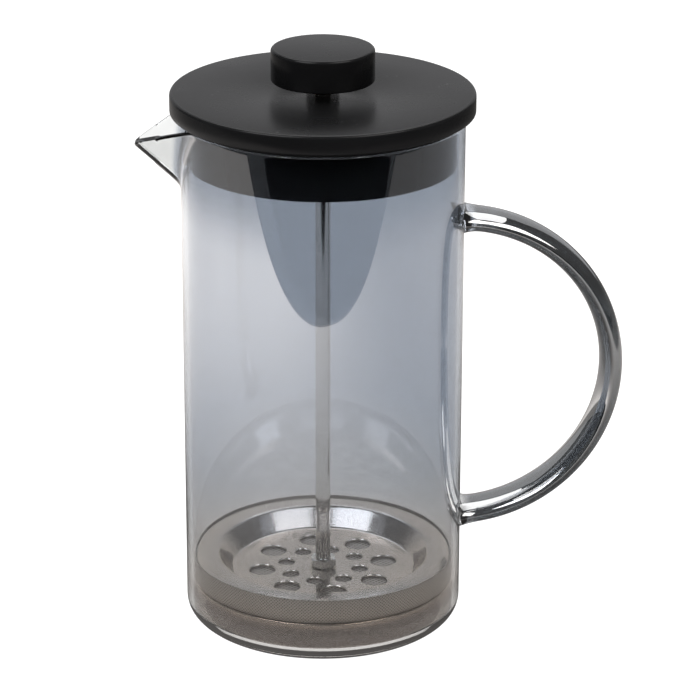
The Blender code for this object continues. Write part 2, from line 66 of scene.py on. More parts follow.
camera_data = bpy.data.cameras.new("camera")
camera_data.lens = LENS
camera_data.sensor_width = 36.0
camera_data.clip_end = 50.0
camera = bpy.data.objects.new("camera", camera_data)
bpy.context.scene.collection.objects.link(camera)
camera.matrix_world = (Matrix.Translation(EYE)
                       @ Matrix.Rotation(TURN, 4, "Z")
                       @ Matrix.Rotation(math.pi / 2 - DOWN, 4, "X")
                       @ Matrix.Rotation(ROLL, 4, "Z"))
bpy.context.scene.camera = camera
bpy.context.scene.view_settings.view_transform = "Standard"
print("Camera at", [round(c, 3) for c in camera.location])

# %% Helpers that wire a material's nodes


def wire(made, sockets):
    """Set a node's inputs from numbers and colours, or link them to other nodes' outputs."""
    for key, value in sockets.items():
        if isinstance(value, bpy.types.NodeSocket):
            made.id_data.links.new(value, made.inputs[key])
        else:
            made.inputs[key].default_value = value


def node(finish, kind, sockets=None, **settings):
    """Add a node to a finish, set it up and wire it."""
    made = finish.node_tree.nodes.new(kind)
    for name, value in settings.items():
        setattr(made, name, value)
    wire(made, sockets or {})
    return made


def new_finish(name, **sockets):
    """A finish with one Principled shader, whose uniform values sit on its own sockets."""
    finish = bpy.data.materials.new(name)
    finish.use_nodes = True
    shader = finish.node_tree.nodes["Principled BSDF"]
    wire(shader, {key.replace("_", " "): value for key, value in sockets.items()})
    print("Mixing", name)
    return finish, shader


def glow(name, colour, strength):
    """A card that only shines."""
    finish = bpy.data.materials.new(name)
    finish.use_nodes = True
    finish.node_tree.nodes.remove(finish.node_tree.nodes["Principled BSDF"])
    shine = node(finish, "ShaderNodeEmission", {"Color": (*colour, 1.0), "Strength": strength})
    wire(finish.node_tree.nodes["Material Output"], {"Surface": shine.outputs[0]})
    return finish


def let_go():
    """Leave edit mode and deselect every object."""
    if bpy.context.mode != "OBJECT":
        bpy.ops.object.mode_set(mode="OBJECT")
    bpy.ops.object.select_all(action="DESELECT")


# %% Lay the floor and the cards
def card(name, low, high, height, finish, reflections_only=False):
    """A flat rectangle at a height that belongs to the studio and not to the press."""
    let_go()
    middle = ((low[0] + high[0]) / 2, (low[1] + high[1]) / 2, height)
    bpy.ops.mesh.primitive_plane_add(size=1, location=middle)
    made = bpy.context.object
    made.name = name
    made.scale = (high[0] - low[0], high[1] - low[1], 1)
    made.data.materials.append(finish)
    if reflections_only:
        for ray in ("camera", "diffuse", "transmission", "shadow", "volume_scatter"):
            setattr(made, "visible_" + ray, False)
    print(name, "spans", [round(length, 2) for length in made.dimensions[:2]], "m")
    return made


FLOOR_HEIGHT = -0.0002
TABLE_HEIGHT = 0.0004
FLAG_HEIGHT = 0.0008

paper, paper_shader = new_finish("pale_paper", Base_Color=(0.25, 0.25, 0.25, 1), Roughness=0.9,
                                 Emission_Color=(1, 1, 1, 1), Emission_Strength=0.92)
floor = card("floor", (-8, -6), (8, 10), FLOOR_HEIGHT, paper)
floor.visible_glossy = False

# %% Paint the table as the glass sees it
FRONT_EDGE = -0.360
EDGE_SLOPE = -0.08
EDGE_BOW = 0.25
POOL_LIGHT = 1.3
TABLE_WHITE = (1.0, 0.955, 0.925)

table_light = glow("table_light", TABLE_WHITE, 1.0)
spot = node(table_light, "ShaderNodeNewGeometry").outputs["Position"]
axes = node(table_light, "ShaderNodeSeparateXYZ", {"Vector": spot})
reach_out = node(table_light, "ShaderNodeVectorMath", {0: spot}, operation="LENGTH")


def ramp(value, low, high, start, end):
    """A smooth step of light between two places on the table."""
    limits = {"Value": value, "From Min": low, "From Max": high, "To Min": start, "To Max": end}
    return node(table_light, "ShaderNodeMapRange", limits,
                interpolation_type="SMOOTHSTEP").outputs[0]


def times(first, second):
    """The product of two values."""
    return node(table_light, "ShaderNodeMath", {0: first, 1: second},
                operation="MULTIPLY").outputs[0]


across = node(table_light, "ShaderNodeMath", {0: axes.outputs["X"], 1: EDGE_BOW, 2: EDGE_SLOPE},
              operation="MULTIPLY_ADD")
bowed = node(table_light, "ShaderNodeMath",
             {0: axes.outputs["X"], 1: across.outputs[0], 2: FRONT_EDGE}, operation="MULTIPLY_ADD")
edge = node(table_light, "ShaderNodeMath", {0: axes.outputs["Y"], 1: bowed.outputs[0]},
            operation="GREATER_THAN")
# Close to the press the glow sinks nearly to dark: a painted shadow of the press on the table
near = ramp(reach_out.outputs["Value"], low=0.07, high=0.42, start=0.09, end=1.25)
far = ramp(reach_out.outputs["Value"], low=0.42, high=0.52, start=1.0, end=0.24)
sideways = ramp(axes.outputs["X"], low=-0.30, high=0.36, start=1.15, end=0.36)
behind = ramp(axes.outputs["Y"], low=-0.05, high=0.25, start=1.0, end=0.75)
bright = times(times(near, far), times(times(sideways, behind), edge.outputs[0]))
shine = table_light.node_tree.nodes["Emission"]
wire(shine, {"Strength": times(bright, POOL_LIGHT)})
card("table_glow", (-3, -3), (3, 3), TABLE_HEIGHT, table_light, reflections_only=True)

# %% Stand the black flag and the backdrop
velvet = glow("velvet", (0.3, 0.35, 0.4), 0.004)
flag = card("black_flag", (-0.5, -0.62), (0.5, FRONT_EDGE), FLAG_HEIGHT, velvet,
            reflections_only=True)
flag.visible_transmission = True
pale_wall = glow("backdrop", (0.98, 0.98, 1.0), 0.50)
backdrop = card("backdrop_glow", (-2.0, -1.2), (2.0, 1.2), 0.0, pale_wall,
                reflections_only=True)
backdrop.rotation_euler.x = math.radians(90)
backdrop.location = (0.0, 2.4, 1.15)

# %% Hang the lights


def softbox(name, place, aim, width, height, power, colour=(1, 1, 1)):
    """A rectangular soft light that looks at a point."""
    data = bpy.data.lights.new(name, "AREA")
    data.shape = "RECTANGLE"
    data.size = width
    data.size_y = height
    data.energy = power
    data.color = colour
    lamp = bpy.data.objects.new(name, data)
    lamp.location = place
    lamp.rotation_euler = (Vector(aim) - Vector(place)).to_track_quat("-Z", "Y").to_euler()
    bpy.context.scene.collection.objects.link(lamp)
    print(name, "gives", power, "W")


softbox("overhead", place=(0.0, 0.9, 2.4), aim=(0, 0.3, 0), width=2.6, height=2.2, power=48)
softbox("left_front", place=(-0.80, -0.66, 1.20), aim=(0, 0, 0.05), width=0.95, height=0.8,
        power=18, colour=(0.98, 0.99, 1.0))
softbox("right_front", place=(0.72, -0.72, 1.20), aim=(0, 0, 0.05), width=0.95, height=0.8,
        power=14, colour=(1.0, 0.98, 0.96))

# %% [markdown]
# ### The room
#
# The room is a pale world. It is bright to the camera and dim to everything else, so that black
# plastic stays black. Light that has come through the glass sees more of it towards the back of
# the room, which keeps the steel plates bright.

# %% Paint the room
FILL = 0.08
SEEN = 1.0
FRONT_SHARE = 0.15
BACK_SHARE = 1.5

sky = bpy.data.worlds.new("studio")
sky.use_nodes = True
bpy.context.scene.world = sky
ray = node(sky, "ShaderNodeLightPath")
heading = node(sky, "ShaderNodeTexCoord")
parts = node(sky, "ShaderNodeSeparateXYZ", {"Vector": heading.outputs["Generated"]})
rear = node(sky, "ShaderNodeMapRange", {
    "Value": parts.outputs["Y"], "From Min": 0.45, "From Max": 0.85,
    "To Min": FRONT_SHARE, "To Max": BACK_SHARE})
through_glass = node(sky, "ShaderNodeMath", {0: ray.outputs["Is Transmission Ray"],
                                             1: rear.outputs["Result"]}, operation="MULTIPLY")
either = node(sky, "ShaderNodeMath", {0: ray.outputs["Is Camera Ray"], 1: through_glass.outputs[0]},
              operation="MAXIMUM")
room_light = node(sky, "ShaderNodeMapRange", {"Value": either.outputs[0], "To Min": FILL,
                                              "To Max": SEEN}, clamp=False)
wire(sky.node_tree.nodes["Background"], {"Color": (1, 1, 1, 1),
                                         "Strength": room_light.outputs["Result"]})
print("Studio ready")

# %% [markdown]
# ## Tools of the trade
#
# Most pieces are round. One could draw half a section and spin it, but a potter's way is easier
# to follow in code: take a circle, extrude its edge, and scale and lift the new ring, once for
# each corner of the section. Corners are rounded afterwards, by a bevel along the ring.

# %% Helpers that shape a piece in edit mode


def pick(kind, test):
    """Select only the points, edges or faces that pass a test on their place."""
    bpy.ops.mesh.select_mode(type=kind)
    bpy.ops.mesh.select_all(action="DESELECT")
    form = bmesh.from_edit_mesh(bpy.context.object.data)
    items = {"VERT": form.verts, "EDGE": form.edges, "FACE": form.faces}[kind]
    chosen = [item for item in items if test(item)]
    for item in chosen:
        item.select_set(True)
    bmesh.update_edit_mesh(bpy.context.object.data)


def on_ring(radius, height, slack=0.02 * MM):
    """A test for the edges that lie along one ring about the press's axis."""
    def test(edge):
        return all(abs(point.co.xy.length - radius) < slack and abs(point.co.z - height) < slack
                   for point in edge.verts)
    return test


def tidy_skin():
    """Merge what touches and point every face outwards, then leave edit mode."""
    bpy.ops.mesh.select_all(action="SELECT")
    bpy.ops.mesh.remove_doubles(threshold=0.001 * MM)
    bpy.ops.mesh.normals_make_consistent(inside=False)
    bpy.ops.object.mode_set(mode="OBJECT")


def throw(name, corners, columns, soft=()):
    """Throw a round piece like a pot: corners are (radius, height) in mm, soft the rounded ones
    as (radius, height, width, steps). A section that starts on the axis also ends there."""
    let_go()
    solid = corners[0][0] == 0
    rings = [(r * MM, z * MM) for r, z in (corners[1:-1] if solid else corners + corners[:1])]
    radius, height = rings[0]
    bpy.ops.mesh.primitive_circle_add(vertices=columns, radius=radius, location=(0, 0, height),
                                      fill_type="TRIFAN" if solid else "NOTHING")
    piece = bpy.context.object
    piece.name = name
    bpy.ops.object.transform_apply(location=True, rotation=True, scale=True)
    bpy.ops.object.mode_set(mode="EDIT")
    pick("EDGE", on_ring(radius, height))
    for next_radius, next_height in rings[1:]:
        bpy.ops.mesh.extrude_edges_move()
        grow = next_radius / radius
        bpy.ops.transform.resize(value=(grow, grow, 1), center_override=(0, 0, 0))
        bpy.ops.transform.translate(value=(0, 0, next_height - height))
        radius, height = next_radius, next_height
    if solid:
        bpy.ops.mesh.edge_face_add()
        bpy.ops.mesh.poke()
    tidy_skin()
    bpy.ops.object.mode_set(mode="EDIT")
    for soft_radius, soft_height, width, steps in soft:
        pick("EDGE", on_ring(soft_radius * MM, soft_height * MM))
        bpy.ops.mesh.bevel(offset=width * MM, segments=steps, affect="EDGES")
    tidy_skin()
    print(name, "is thrown with", len(piece.data.polygons), "faces")
    return piece


def boolean(piece, tool, operation):
    """Add, cut or intersect a piece with a tool, which is used up."""
    let_go()
    bpy.context.view_layer.objects.active = piece
    piece.select_set(True)
    step = piece.modifiers.new(operation.lower(), "BOOLEAN")
    step.operation = operation
    step.solver = "EXACT"
    step.object = tool
    bpy.ops.object.modifier_apply(modifier=step.name)
    bpy.data.objects.remove(tool, do_unlink=True)


def fit(piece, body, nodes, finish, angle=35.0):
    """Smooth a piece, give it its finish and body, and let it stand for its CAD nodes."""
    let_go()
    bpy.context.view_layer.objects.active = piece
    piece.select_set(True)
    bpy.ops.object.shade_smooth_by_angle(angle=math.radians(angle))
    piece.data.materials.clear()
    piece.data.materials.append(finish)
    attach(piece, body)
    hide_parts(*nodes)
    print(piece.name, "has", len(piece.data.polygons), "faces")


# %% [markdown]
# ## The glass
#
# The beaker is a tube of thin glass with a flat floor, and its lip is pinched into a spout while
# the glass is soft. The spout's two sides are nearly flat and meet in a keel. A boolean of a wedge
# would leave hard edges, so the lip's points are moved out to the flat sides by a rule that
# blends them into the round wall. Wall and floor get their thickness after that, from one skin.

# %% Throw the outer skin of the beaker
WALL = 46.0
RIM = 174.0
CORNER = 6.0
GLASS = 2.0
SPOUT_START = 141.0
SPOUT_ROWS = 24
COLUMNS = 240

base_arc = [(WALL - CORNER + CORNER * math.sin(a), CORNER - CORNER * math.cos(a))
            for a in (math.radians(9 * step) for step in range(11))]
wall_rows = [(WALL, z) for z in (30, 55, 80, 105, 130, SPOUT_START)]
lip_rows = [(WALL, SPOUT_START + (RIM - SPOUT_START) * step / SPOUT_ROWS)
            for step in range(1, SPOUT_ROWS + 1)]
glass = throw("press_glass", [(0, 0), (20, 0)] + base_arc + wall_rows + lip_rows + [(0, RIM)],
              COLUMNS)
bpy.ops.object.mode_set(mode="EDIT")
pick("FACE", lambda face: face.normal.z > 0.5)
bpy.ops.mesh.delete(type="FACE")
pick("VERT", lambda point: not point.link_faces)
bpy.ops.mesh.delete(type="VERT")
bpy.ops.object.mode_set(mode="OBJECT")
print("The outer skin has", len(glass.data.vertices), "points")

# %% Pinch the spout
TIP = Vector((63.1, 0.0, 165.1))
HALF_ANGLE = math.radians(23.2)
ROOT = Vector((WALL * math.cos(HALF_ANGLE), WALL * math.sin(HALF_ANGLE), RIM))
KEEL = Vector((WALL, 0.0, 149.8))
FLANK = (KEEL - TIP).cross(ROOT - TIP).normalized()
if FLANK.x < 0:
    FLANK.negate()
SOFTNESS = 0.9


def lip_at(angle):
    """Height of the spout's straight rim at an angle from its middle, in mm."""
    if angle >= HALF_ANGLE:
        return RIM
    slope = math.tan(angle)
    share = TIP.x * slope / (ROOT.y - (ROOT.x - TIP.x) * slope)
    return TIP.z + (ROOT.z - TIP.z) * min(1.0, max(0.0, share))


def flank_at(angle, height):
    """Radius of the spout's flat side at an angle and a height, with the keel a little round."""
    across = math.sqrt(math.sin(angle) ** 2 + 0.0004)
    return (FLANK.dot(TIP) - FLANK.z * height) / (FLANK.x * math.cos(angle) + FLANK.y * across)


def pull_out(radius, flank):
    """The larger of two radii, blended where they are close."""
    gap = (flank - radius) / SOFTNESS
    if gap < -30:
        return radius
    return radius + SOFTNESS * math.log1p(math.exp(gap)) if gap < 30 else flank


for point in glass.data.vertices:
    here = point.co / MM
    if here.z <= SPOUT_START + 0.1 or here.xy.length < WALL - 1:
        continue
    angle = abs(math.pi - abs(math.atan2(here.y, here.x)))
    if angle > 0.75:
        continue
    share = (here.z - SPOUT_START) / (RIM - SPOUT_START)
    height = SPOUT_START + (lip_at(angle) - SPOUT_START) * share
    radius = min(pull_out(WALL, flank_at(angle, height)), 61.3)
    out = here.xy.normalized() * radius
    point.co = Vector((out.x, out.y, height)) * MM
glass.data.update()
print("The spout reaches", round(-min(point.co.x for point in glass.data.vertices) / MM, 1), "mm")

# %% Give the skin its thickness and melt its rim


def applied(piece, kind, **settings):
    """Add a modifier to a piece and apply it."""
    let_go()
    bpy.context.view_layer.objects.active = piece
    piece.select_set(True)
    step = piece.modifiers.new(kind.lower(), kind)
    for name, value in settings.items():
        setattr(step, name, value)
    bpy.ops.object.modifier_apply(modifier=step.name)


applied(glass, "SOLIDIFY", thickness=GLASS * MM, offset=-1.0, use_even_offset=True)
bpy.ops.object.mode_set(mode="EDIT")
pick("EDGE", lambda edge: len(edge.link_faces) == 2 and edge.verts[0].co.z > 160 * MM
     and edge.calc_face_angle(0.0) > math.radians(55)
     and abs(edge.verts[0].co.xy.length - edge.verts[1].co.xy.length) < 1.2 * MM)
bpy.ops.mesh.bevel(offset=0.75 * MM, segments=4, affect="EDGES")
pick("VERT", lambda point: point.co.z < 9 * MM and point.co.xy.length < 43.9 * MM
     and point.normal.z > 0.02 and point.co.z > 1.9 * MM)
bpy.ops.transform.translate(value=(0, 0, 1 * MM))
tidy_skin()
print("The blown beaker has", len(glass.data.polygons), "faces")

# %% [markdown]
# ### The handle
#
# The handle is a strap of solid glass, bent to an arc and fused to the wall while hot. Its section
# is an oval, so a circle is squeezed to that oval and extruded round the arc's centre in small
# turns. Near the wall the strap swells, as soft glass does when it is pressed on. A union then
# makes glass and handle one body, so that no skin is left between them.

# %% Bend the strap and fuse it on
ARC_CENTRE = Vector((44.0, 0.0, 86.0)) * MM
ARC = 52.0 * MM
THICK = 7.4 * MM
WIDE = 16.5 * MM
BURIED = 0.6 * MM
SECTIONS = 96

reach = math.acos(BURIED / ARC)
let_go()
bpy.ops.mesh.primitive_circle_add(vertices=48, radius=0.5, location=(0, 0, 0))
strap = bpy.context.object
bpy.ops.object.mode_set(mode="EDIT")
bpy.ops.mesh.select_all(action="SELECT")
bpy.ops.transform.resize(value=(THICK, WIDE, 1), center_override=(0, 0, 0))
bpy.ops.transform.translate(value=(ARC_CENTRE.x + ARC, 0, ARC_CENTRE.z))
bpy.ops.transform.rotate(value=reach, orient_axis="Y", center_override=ARC_CENTRE)


def swell(turn):
    """How much wider the strap is than its own section, at a turn from the arc's middle."""
    from_wall = (reach - abs(turn)) * ARC
    return 1.0 + 0.26 * max(0.0, 1.0 - from_wall / (7.0 * MM)) ** 2


def middle_of_selected():
    """The middle of the selected points, to scale about."""
    form = bmesh.from_edit_mesh(bpy.context.object.data)
    places = [point.co for point in form.verts if point.select]
    return sum(places, Vector()) / len(places)


size = swell(reach)
bpy.ops.transform.resize(value=(size,) * 3, center_override=middle_of_selected())
bpy.ops.mesh.edge_face_add()
for step in range(1, SECTIONS + 1):
    turn = reach * (1 - 2 * step / SECTIONS)
    bpy.ops.mesh.extrude_region_move()
    bpy.ops.transform.rotate(value=-2 * reach / SECTIONS, orient_axis="Y",
                             center_override=ARC_CENTRE)
    grow = swell(turn) / size
    bpy.ops.transform.resize(value=(grow,) * 3, center_override=middle_of_selected())
    size = swell(turn)
tidy_skin()
print("The strap spans", [round(v / MM, 1) for v in strap.dimensions],
      "from", [round(c / MM, 1) for c in strap.bound_box[0]])
boolean(glass, strap, "UNION")

# %% [markdown]
# ### Smoked glass
#
# The wall carries a thin smoke-grey film that lets about half of the light through and shines
# like a mirror. The shader tints light as it crosses the skin, so the tint is painted by place:
# cool and even on the wall, nearly clear on the spout, and darkest on the handle, which is solid.
# Low down the tint also carries painted light and shade. It is lighter and warmer where the
# filter stands behind it, which is a painted lift of light on the steel. It is darker at the very
# bottom, which is painted shade. Blown glass also has slow waves and a few faint wipe marks. Its
# shadow would be black in a path tracer, so rays that carry only shadow pass through as through a
# thin tinted film.

# %% Mix the glass
FILM_COOL = (0.465, 0.50, 0.55, 1)
FILM_PALE = (0.50, 0.53, 0.58, 1)
FOOT_TINT = (0.72, 0.70, 0.68, 1)
STRAP_TINT = (0.05, 0.056, 0.062, 1)
SPOUT_TINT = (0.80, 0.805, 0.80, 1)
SHADOW_TINT = (0.93, 0.935, 0.94, 1)
WALL_COAT = 0.6
STRAP_COAT = 0.4
WALL_COAT_IOR = 3.0
STRAP_COAT_IOR = 3.4
BAND_SPAN = 60.0 * MM
# Painted light and shade by height near the foot: dark at the very bottom, lighter and warmer over
# the filter
PAINTED_LIGHT_SHADE_BANDS = ((0.0, (0.29, 0.262, 0.245, 1)), (0.18, (0.33, 0.30, 0.28, 1)),
              (0.27, (0.66, 0.63, 0.60, 1)), (0.48, (0.62, 0.61, 0.60, 1)))

smoke, smoke_shader = new_finish("smoked_glass", Transmission_Weight=1.0, IOR=1.5,
                                 Coat_Roughness=0.0)
place = node(smoke, "ShaderNodeTexCoord").outputs["Object"]
split = node(smoke, "ShaderNodeSeparateXYZ", {"Vector": place})
flat_place = node(smoke, "ShaderNodeVectorMath", {0: place, 1: (1, 1, 0)}, operation="MULTIPLY")
from_axis = node(smoke, "ShaderNodeVectorMath", {0: flat_place.outputs[0]}, operation="LENGTH")
leaving = node(smoke, "ShaderNodeMapRange",
               {"Value": from_axis.outputs["Value"], "From Min": 46.4 * MM, "From Max": 49.0 * MM},
               interpolation_type="SMOOTHSTEP")
cloud = node(smoke, "ShaderNodeTexNoise", {"Vector": place, "Scale": 9.0, "Detail": 2.0})
film = node(smoke, "ShaderNodeMixRGB", {"Fac": cloud.outputs["Fac"], "Color1": FILM_COOL,
                                        "Color2": FILM_PALE})
spout_side = node(smoke, "ShaderNodeMath", {0: split.outputs["X"], 1: 0.0}, operation="LESS_THAN")
bare = node(smoke, "ShaderNodeMath", {0: leaving.outputs[0], 1: spout_side.outputs[0]},
            operation="MULTIPLY")

# %% Tint the film near the foot, with painted light over the filter and painted shade at the bottom
level = node(smoke, "ShaderNodeMapRange", {"Value": split.outputs["Z"], "From Max": BAND_SPAN})
light_shade_bands = node(smoke, "ShaderNodeValToRGB", {"Fac": level.outputs[0]})
for stop, (share, colour) in enumerate(PAINTED_LIGHT_SHADE_BANDS):
    if stop > 1:
        light_shade_bands.color_ramp.elements.new(share)
    light_shade_bands.color_ramp.elements[stop].position = share
    light_shade_bands.color_ramp.elements[stop].color = colour
outer = node(smoke, "ShaderNodeMapRange", {
    "Value": from_axis.outputs["Value"], "From Min": 44.8 * MM, "From Max": 45.2 * MM,
    "To Max": WALL_COAT})
foot = node(smoke, "ShaderNodeMapRange", {"Value": split.outputs["Z"], "From Min": 9.0 * MM,
                                          "From Max": 14.0 * MM, "To Min": 1.6, "To Max": 0.0})
sole = node(smoke, "ShaderNodeMath", {0: split.outputs["Z"], 1: 2.5 * MM}, operation="LESS_THAN")
wide = node(smoke, "ShaderNodeMath", {0: from_axis.outputs["Value"], 1: 40.0 * MM},
            operation="GREATER_THAN")
round_foot = node(smoke, "ShaderNodeMath", {0: sole.outputs[0], 1: wide.outputs[0]},
                  operation="MULTIPLY")
outside = node(smoke, "ShaderNodeMath", {0: outer.outputs[0], 1: round_foot.outputs[0]},
               operation="MAXIMUM")
corner = node(smoke, "ShaderNodeMath", {0: outside.outputs[0], 1: foot.outputs[0]},
              operation="MULTIPLY", use_clamp=True)
footed = node(smoke, "ShaderNodeMixRGB", {"Fac": corner.outputs[0],
                                          "Color1": light_shade_bands.outputs["Color"], "Color2": FOOT_TINT})
low_down = node(smoke, "ShaderNodeMapRange", {"Value": split.outputs["Z"], "From Min": 26.0 * MM,
                                              "From Max": 62.0 * MM, "To Min": 1.0, "To Max": 0.0})
# Low down the film takes the painted light and shade of the foot bands
film_lit_and_shaded = node(smoke, "ShaderNodeMixRGB", {"Fac": low_down.outputs[0], "Color1": film.outputs[0],
                                          "Color2": footed.outputs[0]})

# %% Darken the strap and clear the spout
to_strap = node(smoke, "ShaderNodeMapRange", {"Value": split.outputs["X"], "From Min": 46.5 * MM,
                                              "From Max": 50.0 * MM})
deep = node(smoke, "ShaderNodeMixRGB", {"Fac": to_strap.outputs[0], "Color1": film_lit_and_shaded.outputs[0],
                                        "Color2": STRAP_TINT})
tint = node(smoke, "ShaderNodeMixRGB", {"Fac": bare.outputs[0], "Color1": deep.outputs[0],
                                        "Color2": SPOUT_TINT})
on_strap = node(smoke, "ShaderNodeMapRange", {"Value": split.outputs["X"], "From Min": 47.0 * MM,
                                              "From Max": 50.0 * MM, "To Max": STRAP_COAT})
film_weight = node(smoke, "ShaderNodeMath", {0: outer.outputs[0], 1: on_strap.outputs[0]},
                   operation="ADD")
mirror = node(smoke, "ShaderNodeMath", {0: film_weight.outputs[0], 1: bare.outputs[0]},
              operation="SUBTRACT", use_clamp=True)

# %% Add slow waves and wipe marks, and let shadow rays through
wave = node(smoke, "ShaderNodeTexNoise", {"Vector": place, "Scale": 26.0, "Detail": 0.0})
ripple = node(smoke, "ShaderNodeBump", {"Height": wave.outputs["Fac"], "Strength": 0.05,
                                        "Distance": 0.002})
wipes = node(smoke, "ShaderNodeMapping", {"Vector": place, "Scale": (60.0, 60.0, 14.0)})
smear = node(smoke, "ShaderNodeTexNoise", {"Vector": wipes.outputs[0], "Scale": 1.0, "Detail": 5.0})
haze = node(smoke, "ShaderNodeMapRange", {"Value": smear.outputs["Fac"], "From Min": 0.62,
                                          "From Max": 0.80, "To Min": 0.0, "To Max": 0.03})
denser = node(smoke, "ShaderNodeMapRange", {"Value": to_strap.outputs[0], "To Min": WALL_COAT_IOR,
                                            "To Max": STRAP_COAT_IOR})
wire(smoke_shader, {"Base Color": tint.outputs[0], "Coat Weight": mirror.outputs[0],
                    "Coat IOR": denser.outputs[0], "Roughness": haze.outputs[0],
                    "Normal": ripple.outputs[0]})
shadow_ray = node(smoke, "ShaderNodeLightPath")
thin_film = node(smoke, "ShaderNodeBsdfTransparent", {"Color": SHADOW_TINT})
through = node(smoke, "ShaderNodeMixShader", {0: shadow_ray.outputs["Is Shadow Ray"],
                                              1: smoke_shader.outputs[0], 2: thin_film.outputs[0]})
wire(smoke.node_tree.nodes["Material Output"], {"Surface": through.outputs[0]})
fit(glass, "beaker", ["beaker", "handle"], smoke, 60.0)

# %% [markdown]
# ## The lid
#
# The lid is two black mouldings. The cover is a shallow cap. The insert under it has a deck, a
# skirt that drops into the beaker, and a flange that sits over the rim. Both are turned shapes,
# so each is thrown from one circle, and a moulding's edges are never sharp, so each is bevelled.

# %% Throw the cover and the insert
LID_RADIUS = 49.3
LID_INNER = 47.3
LID_TOP = 181.8
LID_CEILING = 179.8
LID_FOOT = 175.6
LID_BORE = 4.5
SKIRT_RADIUS = 43.2
SKIRT_INNER = 41.4
SKIRT_FOOT = 158.6
COLLAR_RADIUS = 8.2
COLLAR_FOOT = 173.7
DECK_UNDER = 177.7
DECK_TOP = 179.5
FLANGE_RADIUS = 47.0
FLANGE_UNDER = 174.3
FLANGE_TOP = 176.1
POCKET_RADIUS = 7.0
POCKET_FLOOR = 178.1

lid_shell = throw("lid_shell", [
    (LID_BORE, LID_CEILING), (LID_BORE, LID_TOP), (LID_RADIUS, LID_TOP), (LID_RADIUS, LID_FOOT),
    (LID_INNER, LID_FOOT), (LID_INNER, LID_CEILING)], 200, [
    (LID_RADIUS, LID_TOP, 1.0, 5), (LID_BORE, LID_TOP, 0.2, 2), (LID_RADIUS, LID_FOOT, 0.4, 3),
    (LID_INNER, LID_FOOT, 0.3, 2)])
lid_skirt = throw("lid_skirt", [
    (LID_BORE, COLLAR_FOOT), (COLLAR_RADIUS, COLLAR_FOOT), (COLLAR_RADIUS, DECK_UNDER),
    (SKIRT_INNER, DECK_UNDER), (SKIRT_INNER, SKIRT_FOOT), (SKIRT_RADIUS, SKIRT_FOOT),
    (SKIRT_RADIUS, FLANGE_UNDER), (FLANGE_RADIUS, FLANGE_UNDER), (FLANGE_RADIUS, FLANGE_TOP),
    (SKIRT_RADIUS, FLANGE_TOP), (SKIRT_RADIUS, DECK_TOP), (POCKET_RADIUS, DECK_TOP),
    (POCKET_RADIUS, POCKET_FLOOR), (LID_BORE, POCKET_FLOOR)], 160, [
    (SKIRT_RADIUS, SKIRT_FOOT, 0.5, 3), (SKIRT_INNER, SKIRT_FOOT, 0.5, 3),
    (COLLAR_RADIUS, COLLAR_FOOT, 0.3, 2)])

# %% [markdown]
# ### Satin black plastic
#
# The mould was spark-eroded, which leaves a fine even grain, so the gloss is broad. Light lifts
# the grain and a little dust lies on the top. Handling has polished the edges slightly. The sides
# get less gloss than the top, or the bright table would lift them to grey.

# %% Mix the plastic
BLACK = (0.0045, 0.0045, 0.0048, 1)
FADED_BLACK = (0.0070, 0.0070, 0.0074, 1)
DUST = (0.045, 0.045, 0.047, 1)
WORN_BLACK = (0.010, 0.010, 0.0105, 1)
SIDE_GLOSS = 0.20
TOP_GLOSS = 0.48
SIDE_SHARE = 0.65


